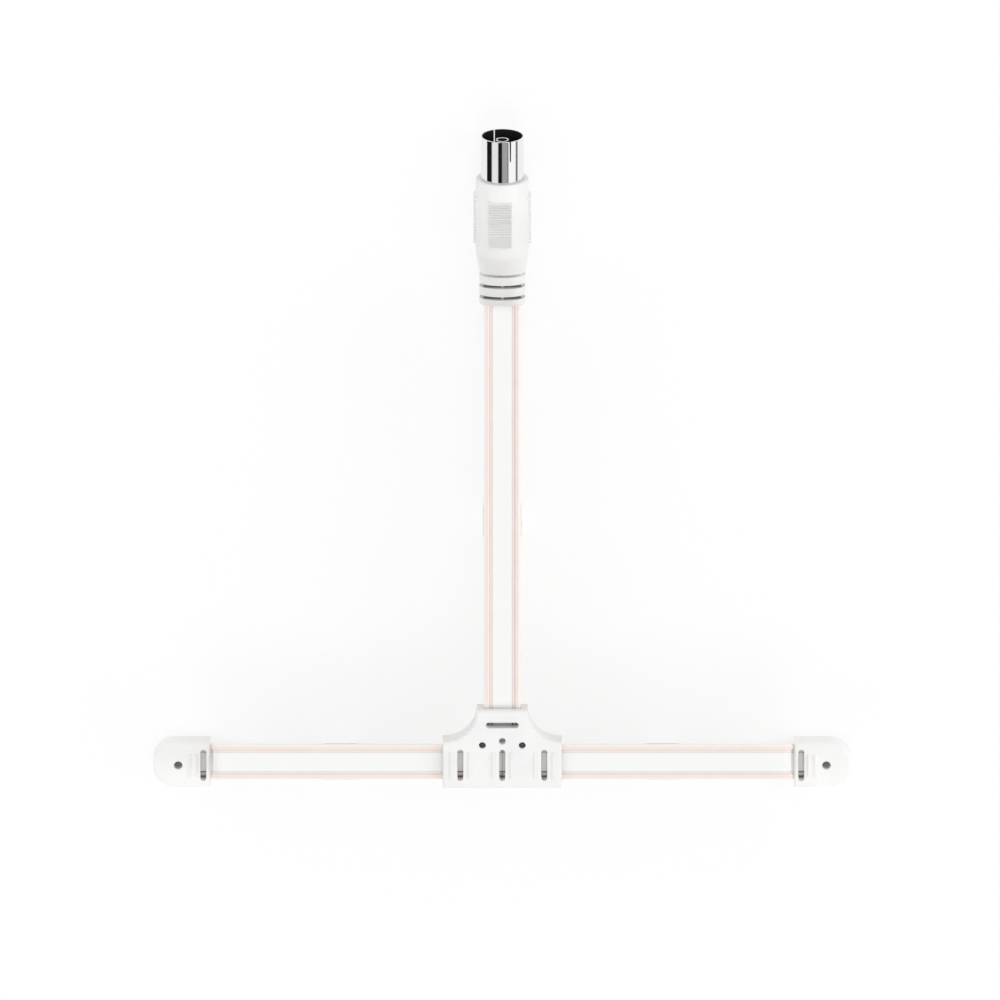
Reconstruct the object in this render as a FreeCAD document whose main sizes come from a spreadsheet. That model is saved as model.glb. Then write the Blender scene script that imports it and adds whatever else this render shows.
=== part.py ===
import FreeCAD, Part
import math
import os
import re
import Sketcher

# FM wire antenna: a folded dipole of flat twin lead with a moulded tee, two end caps and a coax socket.
# It lies on a surface, tee and top strips uppermost, with the spare lead folded into banded hanks below.
# X runs along the dipole, Y along the feed towards the socket, Z up. Millimetres.

doc = FreeCAD.newDocument("wire_antenna")

# Driving dimensions
sizes = {
    # Flat twin lead: two wires in round beads, joined by a thin web
    "ribbon_width": 9.0, "ribbon_bead": 1.6, "ribbon_web": 0.8, "wire_diameter": 0.8,
    "wire_clearance": 0.02, "fit_clearance": 0.05,
    # Tee moulding
    "tee_width": 29.0, "bar_depth": 11.7, "tee_thickness": 6.0, "neck_width": 12.4, "neck_end": 13.87,
    "shoulder_radius": 8.0, "edge_bevel": 0.4, "slot_width": 1.46, "slot_length": 8.0, "slot_spacing": 10.2,
    "neck_slot_place": 10.28, "rib_width": 0.9, "rib_length": 6.9, "rib_height": 0.45, "rib_bevel": 0.32,
    "rib_offset": 2.2,
    "pin_hole": 1.7, "side_hole_across": 4.84, "side_hole_place": 5.13, "centre_hole_place": 6.2,
    "joint_diameter": 1.5,
    # End caps
    "cap_length": 13.9, "cap_width": 11.2, "cap_thickness": 6.0, "cap_corner": 5.4, "nail_hole": 2.1,
    "nail_hole_place": 7.87, "cap_slot_place": 1.75, "cap_rib_near": 3.55, "cap_rib_far": 5.15,
    "cap_rib_length": 6.0, "cap_lead": 4.6, "bridge_gap": 0.1,
    # Folded spare lead
    "hank_layers": 11, "layer_pitch": 3.1, "hank_lean": 0.3443, "arm_reach": 70.9, "arm_hank_start": 7.0,
    "end_gap": 0.3, "nose_length": 2.7, "arm_ramp": 9.4, "feed_reach": 117.4, "feed_hank_start": 5.4,
    "plug_ramp": 14.9, "plug_gap": 1.6, "band_thickness": 0.15, "band_width": 8.0, "arm_band_place": 39.0,
    "feed_band_place": 62.0, "short_layers": 2.5, "plug_layers": 4.5,
    # Socket
    "plug_tuck": 8.5, "strain_length": 8.5, "taper_length": 4.95, "body_length": 18.9,
    "body_diameter": 12.9, "strain_width": 11.2, "strain_front": 8.4, "strain_rear": 5.8,
    "groove_width": 1.0, "groove_depth": 0.6, "groove_rise": 1.4, "groove_pitch": 2.93,
    "grip_diameter": 14.0, "grip_floor": 13.5, "grip_width": 5.8, "grip_length": 11.8, "grip_place": 4.4,
    "grip_rib_pitch": 0.59, "grip_rib_width": 0.3,
    "ring_diameter": 10.5, "ring_bore": 9.6, "ring_exposed": 10.7, "ring_seat": 6.0, "slit_width": 0.35,
    "slit_length": 5.1, "slit_across": 1.97,
    "contact_diameter": 3.2, "contact_bore": 2.4, "contact_depth": 8.0, "contact_recess": 1.0,
    "contact_slit": 0.3, "contact_slit_length": 5.0, "insulator_length": 4.0,
    "tail_diameter": 1.8, "tail_length": 3.0, "lug_thickness": 0.6, "lug_length": 1.2, "lug_inset": 0.1,
    "plug_lead": 15.0,
}

# Heights and places worked out from the sizes above
places = {
    "wire_offset": "(ribbon_width - ribbon_bead) / 2",
    "low_layer": "band_thickness + fit_clearance + ribbon_bead / 2",
    "hank_base": "band_thickness + fit_clearance",
    "hank_top": "low_layer + (hank_layers - 2) * layer_pitch + ribbon_bead / 2",
    "tee_base": "hank_top + fit_clearance",
    "ribbon_plane": "tee_base + tee_thickness / 2",
    "strip_top": "ribbon_plane + ribbon_bead / 2",
    "cap_level": "cap_thickness / 2",
    "plug_axis": "grip_diameter / 2",
    "plug_rear": "feed_reach - plug_tuck",
    "body_rear": "plug_rear + strain_length + taper_length",
    "body_front": "body_rear + body_length",
    "plug_front": "body_front + ring_exposed",
    "low_side": "-hank_lean * ribbon_plane - ribbon_width / 2 - fit_clearance - band_thickness",
    "arm_line": "-(plug_front + low_side) / 2",
    "low_shift": "-hank_lean * (ribbon_plane - low_layer)",
    "cap_shift": "-hank_lean * (ribbon_plane - cap_level)",
    "arm_hank_end": "arm_reach - end_gap",
    "arm_nose": "arm_hank_end - nose_length",
    "arm_lead_start": "arm_reach - arm_ramp",
    "feed_nose": "feed_reach - nose_length",
    "feed_strip_end": "feed_nose - hank_lean * ribbon_bead / 2",
    "feed_strip_start": "ribbon_width / 2 + end_gap",
    "plug_lead_start": "plug_rear - plug_ramp",
    "ramp_top": "low_layer + short_layers * layer_pitch",
    "plug_clear_top": "low_layer + plug_layers * layer_pitch",
    "ring_back": "body_front - ring_seat",
    "contact_front": "plug_front - contact_recess",
    "lead_end": "plug_rear + plug_lead",
    "channel_half": "ribbon_bead / 2 + fit_clearance",
    "channel_side": "ribbon_width / 2 + fit_clearance",
    "joint_reach": "wire_offset + joint_diameter / 2",
    "bridge_place": "cap_lead + bridge_gap + wire_diameter / 2",
}


def fill_sheet(name, values):
    sheet = doc.addObject("Spreadsheet::Sheet", name)
    for row, (alias, value) in enumerate(values.items(), 1):
        sheet.set("A%d" % row, alias)
        sheet.set("B%d" % row, value)
        sheet.setAlias("B%d" % row, alias)
    return sheet


def ex(text):
    # Puts the sheet's name before each alias in an expression
    def prefix(match):
        word = match.group(0)
        if word in sizes:
            return "Sizes." + word
        return "Places." + word if word in places else word
    return re.sub(r"[a-z_]{3,}", prefix, str(text))


size_sheet = fill_sheet("Sizes", {alias: str(value) for alias, value in sizes.items()})
doc.recompute()
fill_sheet("Places", {alias: "=" + ex(formula) for alias, formula in places.items()})
doc.recompute()


def value(text):
    return float(size_sheet.evalExpression(ex(text)))


def bind(obj, **expressions):
    for prop, text in expressions.items():
        obj.setExpression(prop, ex(text))


def move(obj, x, y, z, turn=None):
    # Places an object by expressions, after an optional turn about an axis
    if turn:
        obj.Placement.Rotation = FreeCAD.Rotation(FreeCAD.Vector(*turn[0]), turn[1])
    for axis, text in zip("xyz", (x, y, z)):
        obj.setExpression("Placement.Base." + axis, ex(text))
    return obj


along_y = ((1, 0, 0), -90)
along_x = ((0, 1, 0), 90)


def span(obj, x0, x1, y0, y1, z0, z1):
    # Gives a block its three lengths from its six planes
    bind(obj, Length="(%s) - (%s)" % (x1, x0), Width="(%s) - (%s)" % (y1, y0),
         Height="(%s) - (%s)" % (z1, z0))


def box(name, x0, x1, y0, y1, z0, z1):
    # Block between six planes, with y counted from the dipole's line
    obj = doc.addObject("Part::Box", name)
    span(obj, x0, x1, y0, y1, z0, z1)
    return move(obj, x0, "arm_line + (%s)" % y0, z0)


def rod(name, x, y, z, radius, length, turn):
    obj = doc.addObject("Part::Cylinder", name)
    bind(obj, Radius=radius, Height=length)
    return move(obj, x, "arm_line + (%s)" % y, z, turn)


def leaning_block(name, x0, x1, y0, y1, z0, z1):
    # Block whose y places slide back by the lean for each millimetre below the ribbon plane
    obj = doc.addObject("Part::Wedge", name)
    low = "arm_line - hank_lean * (ribbon_plane - (%s))" % z0
    high = "arm_line - hank_lean * (ribbon_plane - (%s))" % z1
    bind(obj, Xmin=x0, Xmax=x1, X2min=x0, X2max=x1, Ymin=z0, Ymax=z1,
         Zmin="-(%s) - (%s)" % (low, y1), Zmax="-(%s) - (%s)" % (low, y0),
         Z2min="-(%s) - (%s)" % (high, y1), Z2max="-(%s) - (%s)" % (high, y0))
    obj.Placement.Rotation = FreeCAD.Rotation(FreeCAD.Vector(1, 0, 0), 90)
    return obj


def fuse(name, *parts):
    obj = doc.addObject("Part::MultiFuse", name)
    obj.Shapes = list(parts)
    obj.Refine = True
    return obj


def cut(name, base, tool):
    obj = doc.addObject("Part::Cut", name)
    obj.Base = base
    obj.Tool = tool
    obj.Refine = True
    return obj


# Sketches and features of the moulded and turned pieces

def new_body(name, x, y, z, turn=None):
    body = doc.addObject("PartDesign::Body", name)
    return move(body, x, "arm_line + (%s)" % y, z, turn)


def new_sketch(body, name, height="0"):
    sketch = body.newObject("Sketcher::SketchObject", name)
    plane = next(feature for feature in body.Origin.OriginFeatures if feature.Role == "XY_Plane")
    sketch.AttachmentSupport = [(plane, "")]
    sketch.MapMode = "FlatFace"
    sketch.setExpression("AttachmentOffset.Base.z", ex(height))
    return sketch


def dimension(sketch, kind, first, text):
    index = sketch.addConstraint(Sketcher.Constraint(kind, *first, value(text)))
    sketch.setExpression("Constraints[%d]" % index, ex(text))


def pin(sketch, edge, point, x, y):
    # Ties a sketch point to its two coordinates
    dimension(sketch, "DistanceX", (-1, 1, edge, point), x)
    dimension(sketch, "DistanceY", (-1, 1, edge, point), y)


def polygon(sketch, corners):
    spots = [FreeCAD.Vector(value(x), value(y), 0) for x, y in corners]
    edges = [sketch.addGeometry(Part.LineSegment(a, b)) for a, b in zip(spots, spots[1:] + spots[:1])]
    for edge, follower, (x, y) in zip(edges, edges[1:] + edges[:1], corners[1:] + corners[:1]):
        sketch.addConstraint(Sketcher.Constraint("Coincident", edge, 2, follower, 1))
        pin(sketch, follower, 1, x, y)


def rectangle(sketch, x0, x1, y0, y1):
    polygon(sketch, [(x0, y0), (x1, y0), (x1, y1), (x0, y1)])


def circle(sketch, x, y, radius):
    centre = FreeCAD.Vector(value(x), value(y), 0)
    edge = sketch.addGeometry(Part.Circle(centre, FreeCAD.Vector(0, 0, 1), value(radius)))
    pin(sketch, edge, 3, x, y)
    dimension(sketch, "Radius", (edge,), radius)


def round_slot(sketch, x, y, across, along):
    # Slot with round ends, centred at x and y, with half its straight length across and along
    up = FreeCAD.Vector(0, 0, 1)
    radius = value("slot_width / 2")
    step = FreeCAD.Vector(value(across), value(along), 0)
    middle = FreeCAD.Vector(value(x), value(y), 0)
    side = up.cross(step).normalize() * radius
    near, far = middle - step, middle + step
    start = FreeCAD.Vector(1, 0, 0).getAngle(side)
    if side.y < 0:
        start = -start
    arcs = [sketch.addGeometry(Part.ArcOfCircle(Part.Circle(near, up, radius), start, start + math.pi)),
            sketch.addGeometry(Part.ArcOfCircle(Part.Circle(far, up, radius), start - math.pi, start))]
    lines = [sketch.addGeometry(Part.LineSegment(near - side, far - side)),
             sketch.addGeometry(Part.LineSegment(far + side, near + side))]
    for a, a_end, b, b_end in ((arcs[0], 2, lines[0], 1), (lines[0], 2, arcs[1], 1),
                               (arcs[1], 2, lines[1], 1), (lines[1], 2, arcs[0], 1)):
        sketch.addConstraint(Sketcher.Constraint("Tangent", a, a_end, b, b_end))
    sketch.addConstraint(Sketcher.Constraint("Equal", arcs[0], arcs[1]))
    dimension(sketch, "Radius", (arcs[0],), "slot_width / 2")
    pin(sketch, arcs[0], 3, "(%s) - (%s)" % (x, across), "(%s) - (%s)" % (y, along))
    pin(sketch, arcs[1], 3, "(%s) + (%s)" % (x, across), "(%s) + (%s)" % (y, along))


def pad(body, sketch, length):
    feature = body.newObject("PartDesign::Pad", sketch.Name + "_pad")
    feature.Profile = sketch
    bind(feature, Length=length)
    return feature


def pocket(body, sketch, depth):
    # Cuts from the sketch towards the piece's back, and makes sure that material went
    before = body.Shape.Volume
    feature = body.newObject("PartDesign::Pocket", sketch.Name + "_pocket")
    feature.Profile = sketch
    bind(feature, Length=depth)
    doc.recompute()
    assert body.Shape.Volume < before, sketch.Name
    return feature


def carve(body, name, x0, x1, y0, y1, z0, z1, kind="PartDesign::SubtractiveBox"):
    # Takes a block out of a body, or adds one, in the body's own frame
    feature = body.newObject(kind, name)
    span(feature, x0, x1, y0, y1, z0, z1)
    move(feature, x0, y0, z0)
    doc.recompute()


def soften_edges(body, name, kind, wanted, **expressions):
    # Fillets or chamfers the edges of the body's last feature that the test picks
    doc.recompute()
    base = body.Tip
    names = ["Edge%d" % n for n, edge in enumerate(base.Shape.Edges, 1) if wanted(edge.BoundBox)]
    feature = body.newObject("PartDesign::" + kind, name)
    feature.Base = (base, names)
    bind(feature, **expressions)
    doc.recompute()


def rim_edges(reach):
    # Edges that lie level, this far in front of or behind the piece's middle
    return lambda bounds: bounds.ZLength < 1e-6 and abs(abs(bounds.ZMin) - reach) < 1e-6


def tip_corners(reach):
    # Upright edges at the far end of a piece
    return lambda bounds: max(bounds.XLength, bounds.YLength, abs(bounds.XMin - reach)) < 1e-6


def turned(name, y, z, profile):
    # Piece turned about the socket's axis from a profile of radius and distance along it
    body = new_body(name, "0", y, z)
    sketch = new_sketch(body, name + "_profile")
    polygon(sketch, profile)
    feature = body.newObject("PartDesign::Revolution", name + "_turn")
    feature.Profile = sketch
    feature.ReferenceAxis = (sketch, ["V_Axis"])
    feature.Angle = 360
    doc.recompute()
    return body


# Tee: one moulding round the dipole's middle and the feed's end

def build_tee():
    tee = new_body("tee_moulding", "0", "0", "ribbon_plane")
    half = "tee_thickness / 2"
    outline = new_sketch(tee, "tee_outline", "-" + half)
    rectangle(outline, "-tee_width / 2", "tee_width / 2", "-bar_depth / 2", "neck_end")
    pad(tee, outline, "tee_thickness")
    doc.recompute()
    shoulders = new_sketch(tee, "tee_shoulders", half)
    for side in ("-", ""):
        circle(shoulders, side + "(neck_width / 2 + shoulder_radius)", "neck_end", "shoulder_radius")
    pocket(tee, shoulders, "tee_thickness")
    soften_edges(tee, "tee_edges", "Chamfer", rim_edges(value(half)), Size="edge_bevel")
    straight = "(slot_length - slot_width) / 2"
    slots = new_sketch(tee, "tee_slots", half)
    for column in ("-slot_spacing", "0", "slot_spacing"):
        round_slot(slots, column, "0", "0", straight)
    round_slot(slots, "0", "neck_slot_place", straight, "0")
    circle(slots, "0", "centre_hole_place", "pin_hole / 2")
    pocket(tee, slots, half)
    holes = new_sketch(tee, "tee_holes", half)
    for side in ("-", ""):
        circle(holes, side + "side_hole_across", "side_hole_place", "pin_hole / 2")
    pocket(tee, holes, "tee_thickness")
    carve(tee, "dipole_channel", "-tee_width", "tee_width", "-channel_side", "channel_side",
          "-channel_half", "channel_half")
    carve(tee, "feed_channel", "-channel_side", "channel_side", "0", "neck_end * 2", "-channel_half",
          "channel_half")
    ribs = new_sketch(tee, "tee_ribs", half)
    for column in ("-slot_spacing", "0", "slot_spacing"):
        for side in ("-", "+"):
            middle = "%s %s rib_offset" % (column, side)
            rectangle(ribs, middle + " - rib_width / 2", middle + " + rib_width / 2", "-rib_length / 2",
                      "rib_length / 2")
    pad(tee, ribs, "rib_height")
    rib_tops = rim_edges(value(half + " + rib_height"))
    soften_edges(tee, "tee_rib_edges", "Chamfer", rib_tops, Size="rib_bevel")
    return tee


# End cap: one moulding round the end of an arm, with a nail hole

def build_cap(name, x, turn):
    cap = new_body(name, x, "cap_shift", "cap_level", turn)
    half = "cap_thickness / 2"
    outline = new_sketch(cap, name + "_outline", "-" + half)
    rectangle(outline, "0", "cap_length", "-cap_width / 2", "cap_width / 2")
    pad(cap, outline, "cap_thickness")
    soften_edges(cap, name + "_tip", "Fillet", tip_corners(value("cap_length")), Radius="cap_corner")
    soften_edges(cap, name + "_edges", "Chamfer", rim_edges(value(half)), Size="edge_bevel")
    slot = new_sketch(cap, name + "_slot", half)
    round_slot(slot, "cap_slot_place", "0", "0", "(slot_length - slot_width) / 2")
    pocket(cap, slot, half)
    hole = new_sketch(cap, name + "_hole", half)
    circle(hole, "nail_hole_place", "0", "nail_hole / 2")
    pocket(cap, hole, "cap_thickness")
    carve(cap, name + "_channel", "-cap_lead", "bridge_place + wire_diameter / 2 + fit_clearance",
          "-channel_side", "channel_side", "-channel_half", "channel_half")
    ribs = new_sketch(cap, name + "_ribs", half)
    for middle in ("cap_rib_near", "cap_rib_far"):
        rectangle(ribs, middle + " - rib_width / 2", middle + " + rib_width / 2", "-cap_rib_length / 2",
                  "cap_rib_length / 2")
    pad(cap, ribs, "rib_height")
    rib_tops = rim_edges(value(half + " + rib_height"))
    soften_edges(cap, name + "_rib_edges", "Chamfer", rib_tops, Size="rib_bevel")
    return cap


# Twin lead: straight strips carry their wires, ramps and ends stay plain

def lead_section(spot, run_along_x):
    # Twin-lead outline round a point, square to its run
    bead = value("ribbon_bead / 2")
    web = value("ribbon_web / 2")
    offset = value("wire_offset")
    inset = offset - (bead ** 2 - web ** 2) ** 0.5
    across = FreeCAD.Vector(0, 1, 0) if run_along_x else FreeCAD.Vector(1, 0, 0)
    up = FreeCAD.Vector(0, 0, 1)

    def at(side, height):
        return spot + across * side + up * height

    edges = []
    for side in (1, -1):
        edges.append(Part.LineSegment(at(-side * inset, side * web), at(side * inset, side * web)).toShape())
        edges.append(Part.Arc(at(side * inset, side * web), at(side * (offset + bead), 0),
                              at(side * inset, -side * web)).toShape())
    return Part.Wire(Part.__sortEdges__(edges))


def lead(name, stations, run_along_x):
    # Twin lead through stations, each an x, y and z expression with y from the dipole's line
    spots = [FreeCAD.Vector(value(x), value("arm_line + (%s)" % y), value(z)) for x, y, z in stations]
    obj = doc.addObject("Part::Feature", name)
    obj.Shape = Part.makeLoft([lead_section(spot, run_along_x) for spot in spots], True, True)
    return obj


def build_dipole():
    strip = lead("dipole_lead", [("-arm_nose", "0", "ribbon_plane"), ("arm_nose", "0", "ribbon_plane")], True)
    bore = "wire_diameter / 2 + wire_clearance"
    bores = [rod("dipole_bore_" + word, "-arm_nose", y, "ribbon_plane", bore, "arm_nose * 2", along_x)
             for word, y in (("low", "-wire_offset"), ("high", "wire_offset"))]
    notch = box("joint_notch", "-joint_reach - end_gap", "joint_reach + end_gap",
                "wire_offset - joint_diameter / 2 - end_gap / 2", "ribbon_width",
                "ribbon_plane - ribbon_bead", "ribbon_plane + ribbon_bead")
    radius = "wire_diameter / 2"
    return {
        "dipole_strip": cut("dipole_strip", strip, fuse("dipole_voids", notch, *bores)),
        "dipole_through_wire": rod("dipole_through_wire", "-arm_nose", "-wire_offset", "ribbon_plane", radius,
                                   "arm_nose * 2", along_x),
        "dipole_left_wire": rod("dipole_left_wire", "-arm_nose", "wire_offset", "ribbon_plane", radius,
                                "arm_nose - joint_reach", along_x),
        "dipole_right_wire": rod("dipole_right_wire", "joint_reach", "wire_offset", "ribbon_plane", radius,
                                 "arm_nose - joint_reach", along_x),
    }


def build_feed():
    ends = [("0", "feed_strip_start", "ribbon_plane"), ("0", "feed_strip_end", "ribbon_plane")]
    strip = lead("feed_lead", ends, False)
    length = "feed_strip_end - joint_reach"
    nodes = {}
    bores = []
    for word, x in (("left", "-wire_offset"), ("right", "wire_offset")):
        wire = "feed_%s_wire" % word
        nodes[wire] = rod(wire, x, "joint_reach", "ribbon_plane", "wire_diameter / 2", length, along_y)
        bores.append(rod(wire + "_bore", x, "joint_reach", "ribbon_plane",
                         "wire_diameter / 2 + wire_clearance", length, along_y))
        joint = "solder_joint_" + word
        nodes[joint] = rod(joint, x, "wire_offset", "ribbon_plane - joint_diameter / 2", "joint_diameter / 2",
                           "joint_diameter", None)
    nodes["feed_strip"] = cut("feed_strip", strip, fuse("feed_voids", *bores))
    return nodes


# Hanks of folded lead, the bands round them and the leads that run out of them

def build_arm(word, side):
    def stretch(near, far):
        # The two ends of a stretch of this arm, lower one first
        return (near, far) if side > 0 else ("-(%s)" % far, "-(%s)" % near)

    half = "ribbon_width / 2"
    block = leaning_block(word + "_block", *stretch("arm_hank_start", "arm_hank_end"), "-" + half, half,
                          "hank_base", "hank_top")
    nose = leaning_block(word + "_nose", *stretch("arm_nose", "arm_hank_end"), "-" + half, half, "hank_top",
                         "strip_top")
    gap = box(word + "_lead_gap", *stretch("arm_lead_start", "arm_reach * 2"), "-ribbon_plane",
              "ribbon_plane", "-hank_base", "ramp_top")
    inner = "ribbon_width / 2 + fit_clearance"
    outer = inner + " + band_thickness"
    place = stretch("arm_band_place - band_width / 2", "arm_band_place + band_width / 2")
    wrap = leaning_block(word + "_wrap", *place, "-(%s)" % outer, outer, "0",
                         "hank_top + fit_clearance + band_thickness")
    core = leaning_block(word + "_core", *place, "-(%s)" % inner, inner, "band_thickness",
                         "hank_top + fit_clearance")
    sign = "" if side > 0 else "-"
    stations = [(sign + "arm_lead_start", "low_shift", "low_layer"),
                (sign + "arm_reach", "cap_shift", "cap_level"),
                (sign + "(arm_reach + cap_lead)", "cap_shift", "cap_level")]
    return {
        word + "_hank": cut(word + "_hank", fuse(word + "_fold", block, nose), gap),
        word + "_band": cut(word + "_band", wrap, core),
        word + "_end_lead": lead(word + "_end_lead", stations, True),
        word + "_end_bridge": rod(word + "_end_bridge", sign + "(arm_reach + bridge_place)",
                                  "cap_shift - wire_offset", "cap_level", "wire_diameter / 2",
                                  "wire_offset * 2", along_y),
    }


def build_feed_hank():
    half = "ribbon_width / 2"
    block = leaning_block("feed_block", "-" + half, half, "feed_hank_start", "feed_reach", "hank_base",
                          "hank_top")
    nose = leaning_block("feed_nose_block", "-" + half, half, "feed_nose", "feed_reach", "hank_top",
                         "strip_top")
    gaps = fuse("feed_gaps",
                box("plug_room", "-ribbon_width", "ribbon_width", "plug_rear - plug_gap", "plug_front",
                    "-hank_base", "plug_clear_top"),
                box("feed_lead_gap", "-ribbon_width", "ribbon_width", "plug_lead_start", "plug_front",
                    "-hank_base", "ramp_top"))
    inner = "ribbon_width / 2 + fit_clearance"
    outer = inner + " + band_thickness"
    place = ("feed_band_place - band_width / 2", "feed_band_place + band_width / 2")
    wrap = leaning_block("feed_wrap", "-(%s)" % outer, outer, *place, "0",
                         "hank_top + fit_clearance + band_thickness")
    core = leaning_block("feed_core", "-(%s)" % inner, inner, *place, "band_thickness",
                         "hank_top + fit_clearance")
    stations = [("0", "plug_lead_start", "low_layer"), ("0", "plug_rear", "plug_axis"),
                ("0", "lead_end", "plug_axis")]
    return {
        "feed_hank": cut("feed_hank", fuse("feed_fold", block, nose), gaps),
        "feed_band": cut("feed_band", wrap, core),
        "feed_end_lead": lead("feed_end_lead", stations, False),
    }


# Socket: overmoulded body with grips and a grooved strain relief round turned contacts

def oval(name, y, width, height):
    obj = doc.addObject("Part::Ellipse", name)
    bind(obj, MajorRadius="(%s) / 2" % width, MinorRadius="(%s) / 2" % height)
    return move(obj, "0", "arm_line + (%s)" % y, "plug_axis", along_y)


def flat_bar(name, width, height):
    # Bar with round sides, as long as the strain relief
    radius = "(%s) / 2" % height
    reach = "(%s) / 2 - %s" % (width, radius)
    bar = box(name + "_flat", "-(%s)" % reach, reach, "plug_rear", "plug_rear + strain_length",
              "plug_axis - " + radius, "plug_axis + " + radius)
    sides = [rod("%s_%s_side" % (name, word), x, "plug_rear", "plug_axis", radius, "strain_length", along_y)
             for word, x in (("left", "-(%s)" % reach), ("right", reach))]
    return fuse(name, bar, *sides)


def build_taper():
    # From the round body down to an oval that stands above the strain relief
    taper = doc.addObject("Part::Loft", "taper")
    taper.Sections = [oval("taper_rear", "plug_rear + strain_length", "strain_width", "strain_front"),
                      oval("taper_front", "body_rear", "body_diameter", "body_diameter")]
    taper.Solid = True
    taper.Ruled = True
    return taper


def cross(name, reach, start, length):
    # Two flat-ended blocks at right angles through the socket's axis
    half = "grip_width / 2"
    end = "%s + %s" % (start, length)
    return [box(name + "_level", "-" + reach, reach, start, end, "plug_axis - " + half,
                "plug_axis + " + half),
            box(name + "_upright", "-" + half, half, start, end, "plug_axis - " + reach,
                "plug_axis + " + reach)]


def build_overmould():
    barrel = rod("barrel", "0", "body_rear", "plug_axis", "body_diameter / 2", "body_length", along_y)
    relief = flat_bar("relief", "strain_width", "strain_rear")
    core = flat_bar("relief_core", "strain_width - 2 * groove_depth", "strain_rear - 2 * groove_rise")
    grooves = []
    for n in range(3):
        start = "plug_rear + strain_length - groove_width - %d * groove_pitch" % n
        grooves.append(box("groove_%d" % n, "-body_diameter", "body_diameter", start,
                           start + " + groove_width", "plug_axis - body_diameter",
                           "plug_axis + body_diameter"))
    grooved = cut("grooved_relief", relief, cut("groove_cut", fuse("groove_slabs", *grooves), core))
    start = "body_front - grip_place - grip_length"
    blocks = cross("grip_floor_pad", "grip_floor / 2", start, "grip_length")
    for n in range(int(value("grip_length / grip_rib_pitch"))):
        blocks += cross("grip_rib_%d" % n, "grip_diameter / 2",
                        "%s + %d * grip_rib_pitch + grip_rib_width / 2" % (start, n), "grip_rib_width")
    grips = fuse("grips", *blocks)
    seat = rod("ring_socket", "0", "ring_back", "plug_axis", "ring_diameter / 2 + fit_clearance",
               "ring_seat * 2", along_y)
    chamber = box("contact_chamber", "-ring_diameter / 2", "ring_diameter / 2", "lead_end", "ring_back",
                  "plug_axis - tail_diameter", "plug_axis + tail_diameter")
    channel = box("lead_channel", "-channel_side", "channel_side", "plug_rear - plug_lead", "lead_end",
                  "plug_axis - channel_half", "plug_axis + channel_half")
    outside = fuse("plug_outside", grooved, build_taper(), barrel, grips)
    return cut("plug_overmould", outside, fuse("plug_voids", seat, chamber, channel))


def build_ring():
    ring = turned("plug_outer_contact", "ring_back", "plug_axis", [
        ("ring_bore / 2", "0"), ("ring_diameter / 2", "0"), ("ring_diameter / 2", "ring_seat + ring_exposed"),
        ("ring_bore / 2", "ring_seat + ring_exposed")])
    carve(ring, "ring_slit", "slit_across - slit_width / 2", "slit_across + slit_width / 2",
          "ring_seat + ring_exposed - slit_length", "ring_seat + ring_exposed * 2", "0", "ring_diameter")
    carve(ring, "ring_lug", "-(ring_diameter - lug_inset) / 2", "-wire_offset - wire_diameter / 2",
          "-lug_length", "0", "-lug_thickness / 2", "lug_thickness / 2", "PartDesign::AdditiveBox")
    return ring


def build_insulator():
    outer = "ring_bore / 2 - fit_clearance"
    inner = "contact_diameter / 2 + fit_clearance"
    return turned("plug_insulator", "ring_back", "plug_axis", [
        (inner, "0"), (outer, "0"), (outer, "insulator_length"), (inner, "insulator_length")])


def build_contact():
    length = "contact_front - ring_back"
    contact = turned("plug_centre_contact", "ring_back", "plug_axis", [
        ("0", "-tail_length"), ("tail_diameter / 2", "-tail_length"), ("tail_diameter / 2", "0"),
        ("contact_diameter / 2", "0"), ("contact_diameter / 2", length), ("contact_bore / 2", length),
        ("contact_bore / 2", length + " - contact_depth"), ("0", length + " - contact_depth")])
    slit = "contact_slit / 2"
    carve(contact, "contact_slit_across", "-contact_diameter", "contact_diameter",
          length + " - contact_slit_length", length + " + contact_recess", "-" + slit, slit)
    carve(contact, "contact_lug", "0", "wire_offset - wire_diameter / 2", "-tail_length",
          "lug_length - tail_length", "-lug_thickness / 2", "lug_thickness / 2", "PartDesign::AdditiveBox")
    return contact


def build_plug_wires():
    # Bare ends of the feed's wires, from the lead to the contacts
    ends = {}
    for word, x in (("left", "-wire_offset"), ("right", "wire_offset")):
        wire = "plug_%s_wire" % word
        ends[wire] = rod(wire, x, "lead_end", "plug_axis", "wire_diameter / 2",
                         "ring_back - lead_end - wire_clearance", along_y)
    return ends


half_turn_about_z = ((0, 0, 1), 180)
nodes = {
    "tee_moulding": build_tee(),
    "right_end_cap": build_cap("right_end_cap", "arm_reach", None),
    "left_end_cap": build_cap("left_end_cap", "-arm_reach", half_turn_about_z),
    "plug_overmould": build_overmould(),
    "plug_outer_contact": build_ring(),
    "plug_insulator": build_insulator(),
    "plug_centre_contact": build_contact(),
}
nodes.update(build_dipole())
nodes.update(build_feed())
nodes.update(build_arm("right", 1))
nodes.update(build_arm("left", -1))
nodes.update(build_feed_hank())
nodes.update(build_plug_wires())
doc.recompute()

for obj in doc.Objects:
    assert not {"Invalid", "Error"} & set(obj.State), (obj.Name, obj.State)
for name, obj in nodes.items():
    obj.Label = name
    assert not obj.Shape.isNull() and obj.Shape.isValid(), name

os.makedirs("parts", exist_ok=True)
for name, obj in nodes.items():
    obj.Shape.exportStep("parts/%s.step" % name)
    bounds = obj.Shape.BoundBox
    print("%-22s solids %d volume %9.2f  x %7.2f %7.2f  y %7.2f %7.2f  z %6.2f %6.2f" % (
        name, len(obj.Shape.Solids), obj.Shape.Volume, bounds.XMin, bounds.XMax, bounds.YMin, bounds.YMax,
        bounds.ZMin, bounds.ZMax))
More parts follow.
